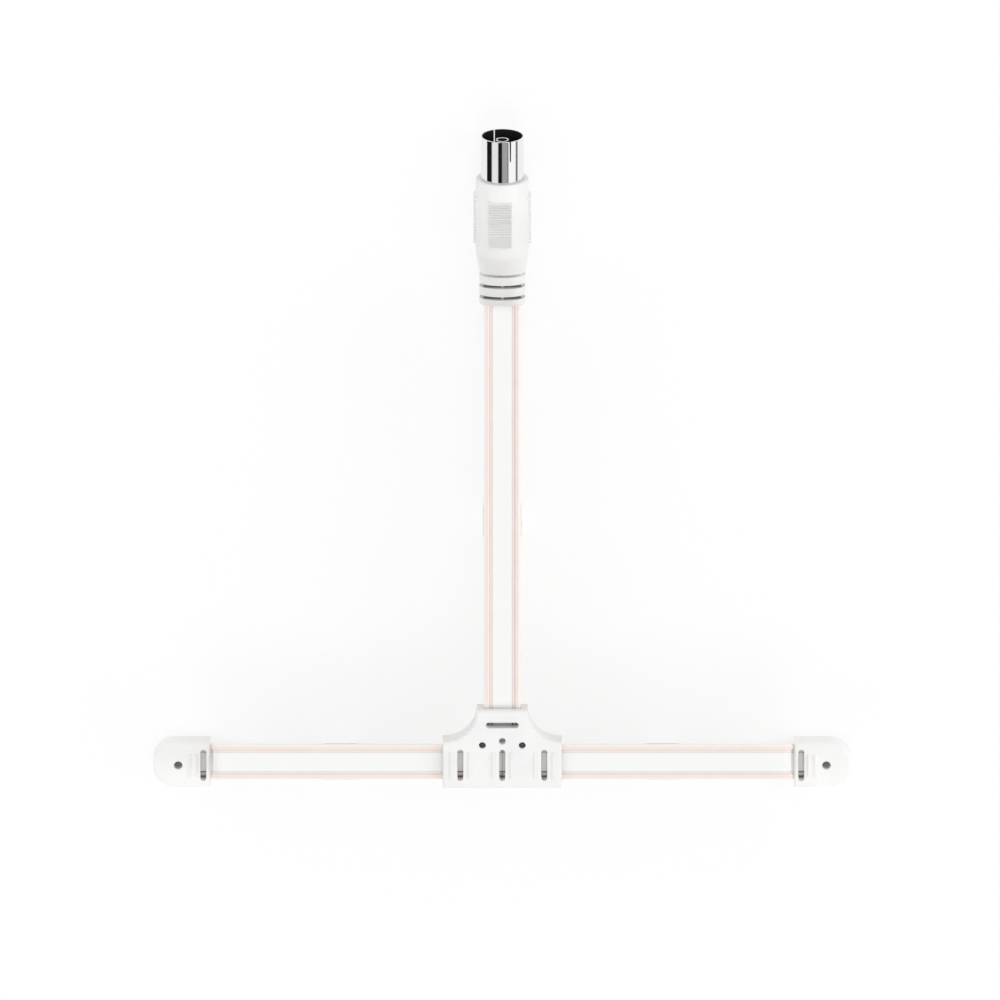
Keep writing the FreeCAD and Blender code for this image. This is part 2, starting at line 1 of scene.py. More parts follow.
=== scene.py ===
import bmesh
import bpy
import math
import mathutils
import numpy as np
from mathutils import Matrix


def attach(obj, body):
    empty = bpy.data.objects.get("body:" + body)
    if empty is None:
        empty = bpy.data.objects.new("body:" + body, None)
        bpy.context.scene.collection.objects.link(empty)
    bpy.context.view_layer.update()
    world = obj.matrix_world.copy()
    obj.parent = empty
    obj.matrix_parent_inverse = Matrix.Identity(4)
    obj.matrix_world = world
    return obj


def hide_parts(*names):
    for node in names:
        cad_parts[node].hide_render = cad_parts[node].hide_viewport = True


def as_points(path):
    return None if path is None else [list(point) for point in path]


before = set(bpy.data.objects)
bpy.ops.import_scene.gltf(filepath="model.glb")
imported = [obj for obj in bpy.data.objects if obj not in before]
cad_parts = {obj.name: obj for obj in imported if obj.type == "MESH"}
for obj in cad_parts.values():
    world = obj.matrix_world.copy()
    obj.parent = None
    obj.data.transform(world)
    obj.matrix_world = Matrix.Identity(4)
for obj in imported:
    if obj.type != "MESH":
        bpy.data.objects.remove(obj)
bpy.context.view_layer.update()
scene = bpy.context.scene
scene.view_settings.view_transform = "Standard"
mm = 0.001
print("frame loaded")


class Socket:
    # One output of a shader node, with arithmetic that adds Math nodes
    def __init__(self, tree, output):
        self.tree = tree
        self.output = output

    def node(self, kind, inputs=None, output=0, **settings):
        made = self.tree.nodes.new(kind)
        for name, setting in settings.items():
            setattr(made, name, setting)
        for key, source in (inputs or {}).items():
            if isinstance(source, Socket):
                self.tree.links.new(source.output, made.inputs[key])
            else:
                made.inputs[key].default_value = source
        return Socket(self.tree, made.outputs[output])

    def other(self, name):
        # Another output of the same node
        return Socket(self.tree, self.output.node.outputs[name])

    def math(self, operation, *others):
        return self.node("ShaderNodeMath", dict(enumerate((self,) + others)), operation=operation)

    def __add__(self, other):
        return self.math("ADD", other)

    def __sub__(self, other):
        return self.math("SUBTRACT", other)

    def __rsub__(self, other):
        return self * -1.0 + other

    def __mul__(self, other):
        return self.math("MULTIPLY", other)

    def __truediv__(self, other):
        return self.math("DIVIDE", other)

    def __abs__(self):
        return self.math("ABSOLUTE")

    __radd__ = __add__
    __rmul__ = __mul__

    def above(self, level):
        # 1 above the level and 0 below it
        return self.math("GREATER_THAN", level)

    def rise(self, low, high):
        # 0 up to low, 1 past high and smooth between, also where low is the greater
        return self.node("ShaderNodeMapRange", {"Value": self, "From Min": low, "From Max": high},
                         interpolation_type="SMOOTHSTEP")

    def hump(self, middle, half):
        # 1 at the middle, falling smoothly to 0 at half a width to each side
        return (abs(self - middle) / half).rise(1.0, 0.0)

    def plateau(self, low, high, edge):
        # 1 between low and high, falling smoothly to 0 over an edge outside them
        return self.rise(low - edge, low) * self.rise(high + edge, high)

    def blend(self, low, high):
        # Colour that goes from low to high with this factor
        return self.node("ShaderNodeMix", {"Factor": self, 6: low, 7: high}, output=2, data_type="RGBA")


class Surface:
    # A material with a Principled shader, whose constants are set on its own sockets
    def __init__(self, name, **constants):
        self.material = bpy.data.materials.new(name)
        self.material.use_nodes = True
        self.tree = self.material.node_tree
        self.shader = self.tree.nodes["Principled BSDF"]
        self.maker = Socket(self.tree, None)
        for key, constant in constants.items():
            self.shader.inputs[key.replace("_", " ")].default_value = constant

    def feed(self, **sources):
        for key, source in sources.items():
            self.tree.links.new(source.output, self.shader.inputs[key.replace("_", " ")])

    def spot(self):
        # The object coordinates in metres
        return self.maker.node("ShaderNodeTexCoord", output="Object")

    def axes(self, spot):
        # The three object coordinates in millimetres
        return [spot.node("ShaderNodeSeparateXYZ", {0: spot}, output=n) / mm for n in range(3)]

    def noise(self, spot, scale, detail):
        return spot.node("ShaderNodeTexNoise", {"Vector": spot, "Scale": scale, "Detail": detail})

    def bump(self, height, strength, distance):
        return height.node("ShaderNodeBump", {"Height": height, "Strength": strength, "Distance": distance})


def colour(red, green, blue):
    return (red, green, blue, 1.0)


# Metres within which points merge, and degrees over which an edge is sharp
meshing = {"merge": 1e-7, "sharp": 40.0}


def gridMesh(name, points, closedAcross=True, closedAlong=False, uv=None):
    # Quads between the rows and columns of a points array of rows, columns and three
    rows, columns = points.shape[:2]
    index = np.arange(rows * columns).reshape(rows, columns)
    if closedAcross:
        index = np.concatenate([index, index[:, :1]], axis=1)
    if closedAlong:
        index = np.concatenate([index, index[:1]], axis=0)
    quads = np.stack([index[:-1, :-1], index[:-1, 1:], index[1:, 1:], index[1:, :-1]], axis=-1)
    mesh = bpy.data.meshes.new(name)
    mesh.from_pydata(points.reshape(-1, 3), [], quads.reshape(-1, 4).tolist())
    mesh.polygons.foreach_set("use_smooth", np.ones(len(mesh.polygons), dtype=bool))
    if uv is not None:
        corners = np.empty(len(mesh.loops), dtype=np.int32)
        mesh.loops.foreach_get("vertex_index", corners)
        layer = mesh.uv_layers.new(name="UVMap")
        layer.data.foreach_set("uv", uv.reshape(-1, 2)[corners].ravel())
    # Points that meet, as at a pole, become one
    shell = bmesh.new()
    shell.from_mesh(mesh)
    bmesh.ops.remove_doubles(shell, verts=shell.verts, dist=meshing["merge"])
    shell.to_mesh(mesh)
    shell.free()
    mesh.set_sharp_from_angle(angle=math.radians(meshing["sharp"]))
    piece = bpy.data.objects.new(name, mesh)
    scene.collection.objects.link(piece)
    return piece


# Camera: straight above and tilted, as a parallel view

view = {"tilt": 19.0, "across": 243.0, "right": -0.56, "up": -11.41, "distance": 600.0}
tilt = math.radians(view["tilt"])
camera = bpy.data.objects.new("camera", bpy.data.cameras.new("camera"))
camera.data.type = "ORTHO"
camera.data.ortho_scale = view["across"] * mm
camera.rotation_euler = (-tilt, 0, 0)
camera.location = (view["right"] * mm,
                   (view["up"] / math.cos(tilt) + view["distance"] * math.sin(tilt)) * mm,
                   view["distance"] * math.cos(tilt) * mm)
scene.collection.objects.link(camera)
scene.camera = camera
print("camera placed")


# Twin lead: two beads and a web swept along a spline through its folds

lead = {"width": 9.0, "bead": 1.6, "web": 0.8, "line": -67.987, "top": 32.75, "low": 1.0, "pitch": 3.1,
        "lean": 0.3443, "layers": 11, "straight": 3.0, "beadPoints": 13, "webPoints": 7, "steps": 6}


def leadOutline():
    # Distance across and height of points round the twin lead: arcs round the two beads, lines along the web
    bead, web = lead["bead"] / 2, lead["web"] / 2
    offset = lead["width"] / 2 - bead
    turn = math.asin(web / bead)
    inset = offset - bead * math.cos(turn)
    arc = np.linspace(-math.pi + turn, math.pi - turn, lead["beadPoints"])
    flat = np.linspace(inset, -inset, lead["webPoints"] + 2)[1:-1]
    half = np.concatenate([np.stack([offset + bead * np.cos(arc), bead * np.sin(arc)], axis=1),
                           np.stack([flat, np.full_like(flat, web)], axis=1)])
    return np.concatenate([half, -half])


def layerHeight(layer):
    # The first layer is the top strip, the rest lie one pitch apart above the low one
    return lead["top"] if layer == 1 else lead["low"] + (lead["layers"] - layer) * lead["pitch"]


def foldedRoute(start, outerEnd, innerEnd, finish):
    # Distance along and height of a strip that folds back and forth downwards, with a point beside each fold
    route = [start]
    for layer in range(1, lead["layers"]):
        outward = layer % 2 == 1
        high, low = layerHeight(layer), layerHeight(layer + 1)
        ends = [(outerEnd if outward else innerEnd)(layer, height) for height in (high, low)]
        step = (high - low) * (-1 if outward else 1)
        route += [(ends[0] + step, high), (ends[0], high), (ends[1], low), (ends[1] + step, low)]
    return route + finish


def rampRoute(ends):
    # A run along the floor, a ramp up to the moulding's mouth and a run into it, with a point beside each bend
    near, low, top = lead["straight"], lead["low"], ends["rampTop"]
    slope = (top - low) / (ends["rampEnd"] - ends["rampStart"])
    return [(ends["rampStart"] - near, low), (ends["rampStart"], low),
            (ends["rampEnd"] - near, top - near * slope), (ends["rampEnd"], top), (ends["rampEnd"] + near, top),
            (ends["end"], top)]


def splinePoints(name, controls):
    # Points read from a NURBS curve of order 3 with the given control points
    curve = bpy.data.curves.new(name, "CURVE")
    curve.dimensions = "3D"
    spline = curve.splines.new("NURBS")
    spline.points.add(len(controls) - 1)
    spline.points.foreach_set("co", np.concatenate([controls, np.ones((len(controls), 1))], axis=1).ravel())
    spline.order_u = 3
    spline.use_endpoint_u = True
    spline.resolution_u = lead["steps"]
    holder = bpy.data.objects.new(name, curve)
    scene.collection.objects.link(holder)
    mesh = bpy.data.meshes.new_from_object(holder)
    points = np.empty(len(mesh.vertices) * 3)
    mesh.vertices.foreach_get("co", points)
    bpy.data.objects.remove(holder)
    bpy.data.curves.remove(curve)
    bpy.data.meshes.remove(mesh)
    return points.reshape(-1, 3)


def ribbon(name, controls, across):
    # Each outline point goes sideways along the fixed across axis and up along the normal to it and the run,
    # and the ends close to a point
    path = splinePoints(name + "Route", np.array(controls) * mm)
    run = np.gradient(path, axis=0)
    up = np.cross(run, across)
    up /= np.linalg.norm(up, axis=1, keepdims=True)
    outline = leadOutline() * mm
    size = np.ones(len(path) + 2)
    size[[0, -1]] = 0
    path, up = (np.concatenate([line[:1], line, line[-1:]]) for line in (path, up))
    points = path[:, None] + size[:, None, None] * (outline[None, :, :1] * np.array(across)[None, None]
                                                    + outline[None, :, 1:] * up[:, None])
    length = np.concatenate([[0], np.cumsum(np.linalg.norm(np.diff(path, axis=0), axis=1))])
    uv = np.empty(points.shape[:2] + (2,))
    uv[:, :, 0] = outline[None, :, 0] / (lead["width"] * mm) + 0.5
    uv[:, :, 1] = length[:, None]
    piece = gridMesh(name, points, uv=uv)
    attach(piece, "root")
    print(name, "length", round(length[-1], 4))
    return piece, path


arm = {"start": 0.05, "outer": 69.8, "short": 60.7, "shortLayer": 9, "inner": 7.8, "rampStart": 61.5,
       "rampEnd": 70.9, "rampTop": 3.0, "end": 75.4, "length": 0.71, "exit": 14.5}


def buildArm(name, side):
    def outerEnd(layer, height):
        return arm["short"] if layer == arm["shortLayer"] else arm["outer"]

    route = foldedRoute((arm["start"], lead["top"]), outerEnd, lambda layer, height: arm["inner"],
                        rampRoute(arm))
    controls = [(side * along, lead["line"] - lead["lean"] * (lead["top"] - height), height)
                for along, height in route]
    return ribbon(name, controls, (0.0, 1.0, 0.0))


feed = {"start": 4.8, "outer": 116.6, "inner": 6.2, "plugStop": 106.5, "plugLayer": 7, "rampStop": 93.2,
        "rampLayer": 9, "rampStart": 94.0, "rampEnd": 108.9, "rampTop": 7.0, "end": 123.8, "length": 1.23,
        "exit": 13.87}


def buildFeed(name):
    def back(height):
        return lead["lean"] * (lead["top"] - height)

    def outerEnd(layer, height):
        if layer == feed["plugLayer"]:
            return feed["plugStop"]
        return feed["rampStop"] if layer == feed["rampLayer"] else feed["outer"] - back(height)

    route = foldedRoute((feed["start"], lead["top"]), outerEnd,
                        lambda layer, height: feed["inner"] - back(height), rampRoute(feed))
    controls = [(0.0, lead["line"] + along, height) for along, height in route]
    return ribbon(name, controls, (1.0, 0.0, 0.0))


rightArm, rightPath = buildArm("rightArm", 1)
leftArm, leftPath = buildArm("leftArm", -1)
feedLead, feedPath = buildFeed("feedLead")
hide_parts("dipole_strip", "dipole_through_wire", "dipole_right_wire", "right_hank",
            "right_end_lead")
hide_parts("dipole_left_wire", "left_hank", "left_end_lead")
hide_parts("feed_strip", "feed_left_wire", "feed_right_wire", "feed_hank", "feed_end_lead")
for piece, path, side, cap in ((rightArm, rightPath, 1, "right_end_cap"),
                               (leftArm, leftPath, -1, "left_end_cap")):
    side * arm["exit"] * mm
    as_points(path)
print("twin leads laid")


# Socket body: oval rings over the lead, a taper and a round front with four ribbed grips

body = {"axis": 7.0, "rear": 108.9, "strain": 117.4, "round": 122.35, "front": 141.25, "wide": 5.6, "thin": 3.4,
        "taperTall": 4.2, "radius": 6.45, "edge": 0.45, "rimSteps": 7, "hole": (4.62, 0.87), "holeEnd": 117.7,
        "ring": 5.28, "ringEnd": 123.4, "grip": (125.05, 136.85), "gripHalf": 2.9, "gripFloor": 6.25,
        "gripTop": 7.0, "ribPitch": 0.62, "topGripAcross": -0.6, "around": 176, "along": 400, "flatSpan": 0.3,
        "hair": 0.02, "turnHair": 0.004}

# Its grooves: the first is a thin line, the others open down to the lead on each side of a spine
groove = {"pitch": 2.93, "width": 0.85, "count": 3, "depth": (0.7, 2.0), "windowEnd": 4.5, "spine": 0.4,
          "spineDepth": 0.8, "overLead": 0.95}


def steps(edges):
    # Sample places just before and just after each edge
    edges = np.ravel(edges)
    return np.concatenate([edges - body["hair"], edges + body["hair"]])


def grooveEdges():
    # Where each groove starts and ends along the axis
    ends = body["strain"] - groove["pitch"] * np.arange(groove["count"])
    return np.stack([ends - groove["width"], ends], axis=1)


def bodyStations():
    # Rows of place along the axis, half width, half height and flatness, which is 1 in the hole and the
    # grooves. They go out of the lead's hole, over the side and in round the contacts, back to the hole
    edge = body["edge"]
    y = np.unique(np.concatenate([np.linspace(body["rear"] + edge, body["front"] - edge, body["along"]),
                                  steps(grooveEdges()), steps(body["grip"]), steps(body["strain"])]))
    marks = [body["strain"], body["round"]]
    wide = np.interp(y, marks, [body["wide"], body["radius"]])
    taper = np.interp(y, marks, [body["taperTall"], body["radius"]])
    tall = np.where(y < body["strain"], body["thin"], taper)
    sunk = ((y[:, None] > grooveEdges()[:, 0]) & (y[:, None] < grooveEdges()[:, 1])).any(axis=1)
    side = np.stack([y, wide - sunk * groove["depth"][0], tall - sunk * groove["depth"][1], sunk], axis=1)
    turn = np.linspace(0, math.pi / 2, body["rimSteps"])[:, None]
    still = np.zeros_like(turn)
    less = np.array([0.0, edge, edge, 0.0])
    # Quarter rounds from the end faces to the side
    rear = side[0] - less + edge * np.concatenate([-np.cos(turn), np.sin(turn), np.sin(turn), still], axis=1)
    front = side[-1] - less + edge * np.concatenate([np.sin(turn), np.cos(turn), np.cos(turn), still], axis=1)
    hole = np.array([[body["holeEnd"], *body["hole"], 1], [body["rear"], *body["hole"], 1]])
    seat = np.array([[place, body["ring"], body["ring"], 0] for place in (body["front"], body["ringEnd"])])
    return np.concatenate([hole, rear[:-1], side, front[1:], seat])


def buildPlugBody():
    stations = bodyStations()
    gripEdge = math.asin(body["gripHalf"] / body["radius"])
    quarter = np.arange(4)[:, None] * math.pi / 2
    sides = quarter + np.array([gripEdge, math.pi / 2 - gripEdge])
    top = np.arccos((body["topGripAcross"] + np.array([-1, 1]) * body["gripHalf"]) / body["radius"])
    edges = np.concatenate([sides.ravel(), top])[:, None] + np.array([-1, 1]) * body["turnHair"]
    angle = np.linspace(0, 2 * math.pi, body["around"], endpoint=False)
    angle = np.unique(np.concatenate([angle, edges.ravel()]))[::-1]
    y, wide, tall, flat = (stations[:, n, None] for n in range(4))
    # An oval, or in the hole and the grooves two half rounds that are joined by a nearly flat top and bottom
    oval = wide * np.cos(angle)
    bar = tall * np.cos(angle) + (wide - tall) * np.clip(np.cos(angle) / body["flatSpan"], -1, 1)
    x = np.where(flat > 0.5, bar, oval)
    z = tall * np.sin(angle)
    # Later grooves go down to the lead, apart from the spine in the middle and the ends
    window = np.zeros_like(y, dtype=bool)
    for low, high in grooveEdges()[1:]:
        window |= (y > low) & (y < high)
    across = np.abs(x)
    opened = window & (across < groove["windowEnd"])
    z = np.where(opened, np.clip(z, -groove["overLead"], groove["overLead"]), z)
    z = np.where(window & (across < groove["spine"]), np.sign(z) * (body["thin"] - groove["spineDepth"]), z)
    # A grip goes out to a flat face with ribs that rise and fall as a cosine along the axis
    low, high = body["grip"]
    wave = 0.5 - 0.5 * np.cos((y - low) * 2 * math.pi / body["ribPitch"])
    face = body["gripFloor"] + (body["gripTop"] - body["gripFloor"]) * wave
    gripped = (y > low) & (y < high) & (wide > body["radius"] - body["hair"])
    shift = np.where(z > 0, body["topGripAcross"], 0)
    x, z = (np.where(gripped & (np.abs(z) < body["gripHalf"]), np.sign(x) * face, x),
            np.where(gripped & (np.abs(x - shift) < body["gripHalf"]), np.sign(z) * face, z))
    points = np.stack([x, np.broadcast_to(lead["line"] + y, x.shape), body["axis"] + z], axis=-1) * mm
    piece = gridMesh("plugBody", points, closedAlong=True)
    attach(piece, "root")
    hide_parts("plug_overmould")
    return piece


# Plated sleeve: a tube with a rounded lip and two slits in its front, by their place across and their side
sleeve = {"outer": 5.25, "inner": 4.8, "rear": 135.25, "front": 151.95, "lip": 0.18, "lipSteps": 6,
          "slits": ((1.97, 1), (-2.1, -1)), "slitHalf": 0.17, "slitLength": 5.1, "around": 240}


def buildSleeve():
    # Rows go along the outer wall, round the lip and back along the inner wall, and in a slit the lip stands
    # back by the slit's length
    outer, inner, lip = sleeve["outer"], sleeve["inner"], sleeve["lip"]
    middles = np.array([math.atan2(side * math.sqrt(outer ** 2 - across ** 2), across)
                        for across, side in sleeve["slits"]]) % (2 * math.pi)
    half = sleeve["slitHalf"] / outer
    edges = middles[:, None] + np.array([-half, half])
    edges = (edges.ravel()[:, None] + np.array([-1, 1]) * body["hair"] / outer).ravel()
    angle = np.linspace(0, 2 * math.pi, sleeve["around"], endpoint=False)
    angle = np.unique(np.concatenate([angle, edges]))[::-1]
    slitted = (np.abs(angle[:, None] - middles) < half).any(axis=1)
    turn = np.linspace(0, math.pi / 2, sleeve["lipSteps"])
    radius = np.concatenate([[outer], outer - lip + lip * np.cos(turn), inner + lip - lip * np.sin(turn),
                             [inner]])
    setBack = np.concatenate([lip - lip * np.sin(turn), lip - lip * np.cos(turn)])[:, None]
    setBack = setBack * np.ones_like(angle)
    rear = np.full((1, len(angle)), sleeve["rear"])
    y = np.concatenate([rear, sleeve["front"] - slitted * sleeve["slitLength"] - setBack, rear])
    points = np.stack([radius[:, None] * np.cos(angle), lead["line"] + y,
                       body["axis"] + radius[:, None] * np.sin(angle)], axis=-1) * mm
    piece = gridMesh("plugSleeve", points, closedAlong=True)
    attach(piece, "root")
    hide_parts("plug_outer_contact")
    return piece


plugBody = buildPlugBody()
plugSleeve = buildSleeve()
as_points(feedPath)
print("socket body and sleeve made")


# Floor, backdrop light and lamps

studio = {"floor": 6.0, "floorColour": colour(0.97, 0.97, 0.97), "lift": 0.8, "sky": 0.7,
          # Soft boxes that metal reflects, by their angle from straight up: from, to, soft edge and strength
          "strips": [(-54.0, -26.0, 7.0, 0.88), (2.0, 26.0, 6.0, 0.38), (36.0, 74.0, 6.0, 1.05),
                     (82.0, 180.0, 4.0, 0.2)],
          "gap": 0.01,
          # Sun lamps: name, where the light comes from, spread in degrees and strength
          "lamps": [("keyLamp", (0.08, -0.4, 0.9), 25.0, 0.4), ("sideLamp", (0.8, 0.05, 0.6), 40.0, 0.58),
                    ("leftLamp", (-0.7, -0.1, 0.7), 40.0, 0.3), ("fillLamp", (-0.1, 0.7, 0.64), 60.0, 0.3)]}


def buildFloor():
    corners = np.array([[[-1, -1, 0], [1, -1, 0]], [[-1, 1, 0], [1, 1, 0]]]) * studio["floor"]
    floor = gridMesh("floor", corners, closedAcross=False)
    surface = Surface("floorWhite", Base_Color=studio["floorColour"], Roughness=0.9, Specular_IOR_Level=0.0)
    ray = surface.maker.node("ShaderNodeLightPath")
    seen = ray.other("Is Camera Ray") + ray.other("Is Glossy Ray") + ray.other("Is Transmission Ray")
    white = surface.maker.node("ShaderNodeEmission", {"Color": colour(1, 1, 1), "Strength": 1.0})
    shader = Socket(surface.tree, surface.shader.outputs[0])
    mixed = surface.maker.node("ShaderNodeMixShader",
                               {0: seen.math("MINIMUM", 1.0) * studio["lift"], 1: shader, 2: white})
    surface.tree.links.new(mixed.output, surface.tree.nodes["Material Output"].inputs["Surface"])
    floor.data.materials.append(surface.material)


def buildSky():
    world = bpy.data.worlds.new("studio")
    world.use_nodes = True
    scene.world = world
    background = world.node_tree.nodes["Background"]
    maker = Socket(world.node_tree, None)
    ray = maker.node("ShaderNodeLightPath")
    direction = maker.node("ShaderNodeTexCoord", output="Generated")
    x = direction.node("ShaderNodeSeparateXYZ", {0: direction}, output=0)
    z = direction.node("ShaderNodeSeparateXYZ", {0: direction}, output=2)
    angle = x.math("ARCTAN2", z) * math.degrees(1)
    strips = sum((angle.plateau(low, high, edge) * strength for low, high, edge, strength in studio["strips"]),
                 studio["gap"])
    level = ray.node("ShaderNodeMix", {"Factor": ray.other("Is Glossy Ray"), 2: studio["sky"], 3: strips},
                     data_type="FLOAT")
    level = level.math("MAXIMUM", ray.other("Is Camera Ray"))
    world.node_tree.links.new(level.output, background.inputs["Strength"])
    background.inputs["Color"].default_value = colour(1, 1, 1)


def lamp(name, source, spread, strength):
    # Sun lamp that shines from the source direction, as wide as the spread in degrees
    light = bpy.data.lights.new(name, "SUN")
    light.angle = math.radians(spread)
    light.energy = strength
    holder = bpy.data.objects.new(name, light)
    holder.rotation_euler = mathutils.Vector(source).to_track_quat("Z", "Y").to_euler()
    holder.visible_glossy = False
    scene.collection.objects.link(holder)


buildFloor()
buildSky()
for row in studio["lamps"]:
    lamp(*row)
print("studio lit")


# Twin-lead plastic: clear edges over copper, a darker line and a painted highlight line inside each wire, and a
# pale web

leadLook = {"web": colour(0.91, 0.915, 0.895),
            # Bands outside the web: distances from the middle where each starts and is full, and its colour
            "bands": [(2.15, 2.6, colour(0.86, 0.81, 0.79)), (2.75, 3.0, colour(0.93, 0.82, 0.77)),
                      (3.95, 4.3, colour(0.97, 0.92, 0.88))],
            # Lines over each wire: distance from the middle, half width and colour; the near-white third line
            # is a painted highlight
            "lines": [(2.45, 0.24, colour(0.73, 0.65, 0.63)), (3.04, 0.34, colour(0.77, 0.65, 0.6)),
                      (3.41, 0.18, colour(0.99, 0.87, 0.81)), (3.68, 0.26, colour(0.85, 0.7, 0.62))],
            # Noise that makes them wander: scale, detail and reach
            "wander": (60.0, 2.0, 0.1),
            # Lay of the wire's strands, as a sine along the lead that leans across it
            "strand": {"rate": 5.2, "lean": 1.2, "middle": 3.55, "half": 0.6, "share": 0.16, "bump": 0.1,
                       "tint": colour(0.86, 0.81, 0.79)},
            # Faint clouding of the plastic, which its roughness and bump follow too
            "cloud": {"scale": 240.0, "detail": 4.0, "levels": (0.4, 0.75), "share": 0.12,
                      "tint": colour(0.97, 0.92, 0.88)},
            "rough": (0.24, 0.16), "bump": (0.06, 0.0003), "coat": (2.6, 3.4, 0.15),
            # Painted shade lines on the wires where a moulding's slot shows the lead, and painted shade in the
            # socket and the tee's neck
            "heldShadeLines": [(2.5, 0.3, colour(0.1, 0.085, 0.08)), (3.55, 0.5, colour(0.13, 0.1, 0.09))],
            "shade": colour(0.12, 0.11, 0.105), "shadeDepth": 0.85, "neckDepth": 0.5,
            "tee": {"across": 14.2, "neck": -54.4, "neckFrom": -61.0, "under": 31.0},
            "capFrom": 71.2, "socketFrom": 41.3, "socketTop": 10.0}


def buildLeadLook(name, depth, upper):
    # The lines show as deep as the copper lies, and upper is how much of the held lines' painted shade the
    # upper wire shows
    surface = Surface(name, IOR=1.5, Coat_Roughness=0.1)
    uv = surface.maker.node("ShaderNodeTexCoord", output="UV")
    across = uv.node("ShaderNodeSeparateXYZ", {0: uv}, output=0)
    along = uv.node("ShaderNodeSeparateXYZ", {0: uv}, output=1)
    spot = surface.spot()
    x, y, z = surface.axes(spot)
    side = abs((across - 0.5) * lead["width"])
    scale, detail, reach = leadLook["wander"]
    wander = side + (surface.noise(spot, scale, detail) - 0.5) * reach
    base = leadLook["web"]
    for start, full, tint in leadLook["bands"]:
        base = wander.rise(start, full).blend(base, tint)
    for middle, half, tint in leadLook["lines"]:
        base = (wander.hump(middle, half) * depth).blend(base, tint)
    strand, cloud = leadLook["strand"], leadLook["cloud"]
    strands = ((along / mm + side * strand["lean"]) * strand["rate"]).math("SINE") * 0.5 + 0.5
    shown = strands * side.hump(strand["middle"], strand["half"]) * strand["share"]
    base = shown.blend(base, strand["tint"])
    clouding = surface.noise(spot, cloud["scale"], cloud["detail"])
    base = (clouding.rise(*cloud["levels"]) * cloud["share"]).blend(base, cloud["tint"])
    # Held is 1 where the tee or a cap holds the lead, and upper over the upper wire there; it places the
    # painted shade lines
    tee = leadLook["tee"]
    inTee = z.above(tee["under"]) * (1 - abs(x).above(tee["across"])) * (1 - y.above(tee["neck"]))
    held = (inTee + abs(x).above(leadLook["capFrom"])) * (1 - across.above(0.5) * (1 - upper))
    # Painted shade lines over the wires where a moulding holds the lead
    for middle, half, tint in leadLook["heldShadeLines"]:
        base = (side.hump(middle, half) * held).blend(base, tint)
    inSocket = y.above(leadLook["socketFrom"]) * (1 - z.above(leadLook["socketTop"]))
    inNeck = inTee * y.above(tee["neckFrom"])
    shade = inSocket * leadLook["shadeDepth"] + inNeck * leadLook["neckDepth"]
    base = shade.blend(base, leadLook["shade"])
    rough, more = leadLook["rough"]
    start, full, coat = leadLook["coat"]
    surface.feed(Base_Color=base, Roughness=clouding * more + rough, Coat_Weight=side.rise(start, full) * coat,
                 Normal=surface.bump(clouding + strands * strand["bump"], *leadLook["bump"]))
    return surface.material


armMaterial = buildLeadLook("armLead", 0.6, 0.3)
for piece in (rightArm, leftArm):
    piece.data.materials.append(armMaterial)
feedLead.data.materials.append(buildLeadLook("feedLead", 1.0, 1.0))
print("twin lead coloured")


# White moulding plastic with a fine spark finish, a faint flow mottle and painted shade in its holes and
# grooves

mouldLook = {"light": colour(0.9, 0.9, 0.892), "dull": colour(0.865, 0.865, 0.86),
             # The caps lie in the leads' shade, so their colour is painted a little whiter to make up for it
             "capPaintedLiftLight": colour(0.96, 0.96, 0.952), "capPaintedLiftDull": colour(0.93, 0.93, 0.925),
             # Mottle and grain: scale and detail of the noise, and how much each adds to the roughness
             "mottle": (130.0, 3.0), "mottleLevels": (0.3, 0.7), "mottleRough": 0.12,
             "grain": (5200.0, 2.0), "grainRough": 0.08, "grainBump": 0.4, "rough": 0.34, "bump": (0.1, 0.0001),
             # Windows of the socket's grooves: heights over the axis where the shade starts and is full, soft
             # edge, and depth in the windows and in all of the groove
             "shade": colour(0.05, 0.05, 0.05), "windowTop": 2.5, "windowDeep": 1.3, "windowSoft": 0.2,
             "windowDepth": 0.45, "grooveDepth": 0.22}

# Holes of the tee and the caps: place, reach of the shade, heights where it starts and is full, and its depth
pinHole = {"across": 4.84, "along": -62.857, "reach": 0.98, "top": 35.5, "deep": 34.0, "depth": 1.0}
nailHole = {"across": 78.77, "along": -78.23, "reach": 1.2, "top": 5.8, "deep": 4.0, "depth": 0.35}


def holeShade(hole):
    # Follows the distance from the hole's axis and the depth under its rim
    def shade(x, y, z):
        across, along = abs(x) - hole["across"], y - hole["along"]
        away = (across * across + along * along).math("SQRT")
        return (1 - away.above(hole["reach"])) * z.rise(hole["top"], hole["deep"]) * hole["depth"]

    return shade


def windowShade(x, y, z):
    # Follows the depth in the later grooves, most of all between their ends and apart from the spine
    inWindow = sum(y.above(lead["line"] + low - body["hair"] * 2) * (1 - y.above(lead["line"] + high))
                   for low, high in grooveEdges()[1:].tolist())
    across = abs(x).plateau(groove["spine"], groove["windowEnd"], mouldLook["windowSoft"])
    deep = abs(z - body["axis"]).rise(mouldLook["windowTop"], mouldLook["windowDeep"])
    return inWindow * deep * (across * mouldLook["windowDepth"] + mouldLook["grooveDepth"])


def buildMouldLook(name, light, dull, shade):
    surface = Surface(name, IOR=1.49)
    spot = surface.spot()
    mottle = surface.noise(spot, *mouldLook["mottle"])
    grain = surface.noise(spot, *mouldLook["grain"])
    base = mottle.rise(*mouldLook["mottleLevels"]).blend(mouldLook[dull], mouldLook[light])
    base = shade(*surface.axes(spot)).blend(base, mouldLook["shade"])
    rough = mottle * mouldLook["mottleRough"] + grain * mouldLook["grainRough"] + mouldLook["rough"]
    surface.feed(Base_Color=base, Roughness=rough,
                 Normal=surface.bump(grain * mouldLook["grainBump"] + mottle, *mouldLook["bump"]))
    return surface.material


def dress(node, material):
    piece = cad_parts[node]
    piece.data.materials.clear()
    piece.data.materials.append(material)


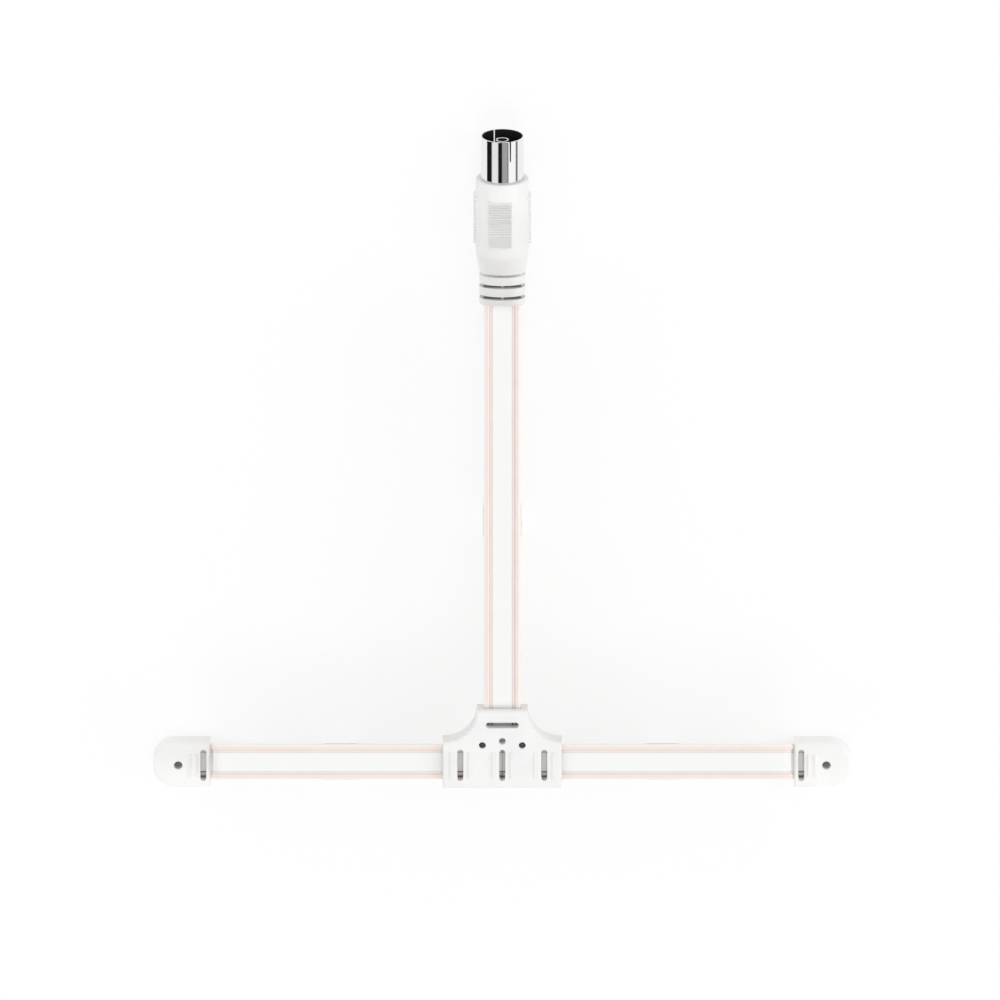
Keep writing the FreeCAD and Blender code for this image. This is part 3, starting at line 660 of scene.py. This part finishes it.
# Caps: plastic colour painted lighter against the leads' shade, and painted shade in the nail holes
capMaterial = buildMouldLook("capMoulding", "capPaintedLiftLight", "capPaintedLiftDull", holeShade(nailHole))
for node in ("right_end_cap", "left_end_cap"):
    dress(node, capMaterial)
dress("tee_moulding", buildMouldLook("teeMoulding", "light", "dull", holeShade(pinHole)))
plugBody.data.materials.append(buildMouldLook("socketMoulding", "light", "dull", windowShade))


# Plated contacts: bright outside and painted shade inside, with fine wear

# Inside is the dark colour painted as shade within the hollows
platingLook = {"inside": colour(0.09, 0.09, 0.092), "wear": (900.0, 3.0), "rough": 0.05, "wearRough": 0.06,
               "insideRough": 0.45, "turned": 0.9}


def buildPlating(name, tint, insideTo, outsideFrom):
    # Bright far from the socket's axis and painted shade inside, with the true round's normal on the turned
    # walls
    surface = Surface(name, Metallic=1.0)
    spot = surface.spot()
    x, z = surface.axes(spot)[::2]
    high = z - body["axis"]
    radius = (x * x + high * high).math("SQRT")
    wear = surface.noise(spot, *platingLook["wear"])
    bright = radius.rise(insideTo, outsideFrom)
    outward = x.node("ShaderNodeCombineXYZ", {0: x / radius, 2: high / radius})
    face = surface.maker.node("ShaderNodeNewGeometry", output="True Normal")
    facing = face.node("ShaderNodeVectorMath", {0: face, 1: outward}, output="Value", operation="DOT_PRODUCT")
    turned = outward.node("ShaderNodeVectorMath", {0: outward, "Scale": facing.math("SIGN")}, operation="SCALE")
    smooth = facing.node("ShaderNodeMix", {0: abs(facing).above(platingLook["turned"]), 4: face, 5: turned},
                         output=1, data_type="VECTOR")
    rough = wear * platingLook["wearRough"] + platingLook["rough"] + (1 - bright) * platingLook["insideRough"]
    surface.feed(Base_Color=bright.blend(platingLook["inside"], tint), Normal=smooth, Roughness=rough)
    return surface.material


plugSleeve.data.materials.append(buildPlating("sleevePlating", colour(0.86, 0.86, 0.87), 4.9, 5.05))
dress("plug_centre_contact", buildPlating("contactPlating", colour(0.8, 0.8, 0.8), 1.15, 1.3))


# Black insulator, bare copper, solder and bands: faint clouds of two colours

plainLook = {"detail": 3.0, "levels": (0.3, 0.7), "more": 0.2, "bump": (0.1, 0.0001),
             # Two colours, roughness, metalness, scale of the clouds and the nodes
             "insulatorBlack": (colour(0.01, 0.01, 0.01), colour(0.02, 0.02, 0.02), 0.5, 0.0, 900.0,
                                ("plug_insulator",)),
             "bareCopper": (colour(0.62, 0.3, 0.2), colour(0.75, 0.42, 0.3), 0.25, 1.0, 1500.0,
                            ("right_end_bridge", "left_end_bridge", "plug_left_wire", "plug_right_wire")),
             "dullSolder": (colour(0.5, 0.5, 0.5), colour(0.68, 0.68, 0.68), 0.3, 1.0, 1500.0,
                            ("solder_joint_left", "solder_joint_right")),
             "whiteBand": (colour(0.92, 0.92, 0.91), colour(0.96, 0.96, 0.95), 0.5, 0.0, 1400.0,
                           ("right_band", "left_band", "feed_band"))}


def buildPlain(name, low, high, rough, metallic, scale):
    surface = Surface(name, Metallic=metallic)
    cloud = surface.noise(surface.spot(), scale, plainLook["detail"])
    surface.feed(Base_Color=cloud.rise(*plainLook["levels"]).blend(low, high),
                 Roughness=cloud * plainLook["more"] + rough, Normal=surface.bump(cloud, *plainLook["bump"]))
    return surface.material


for name in ("insulatorBlack", "bareCopper", "dullSolder", "whiteBand"):
    *look, nodes = plainLook[name]
    material = buildPlain(name, *look)
    for node in nodes:
        dress(node, material)
print("nodes dressed")
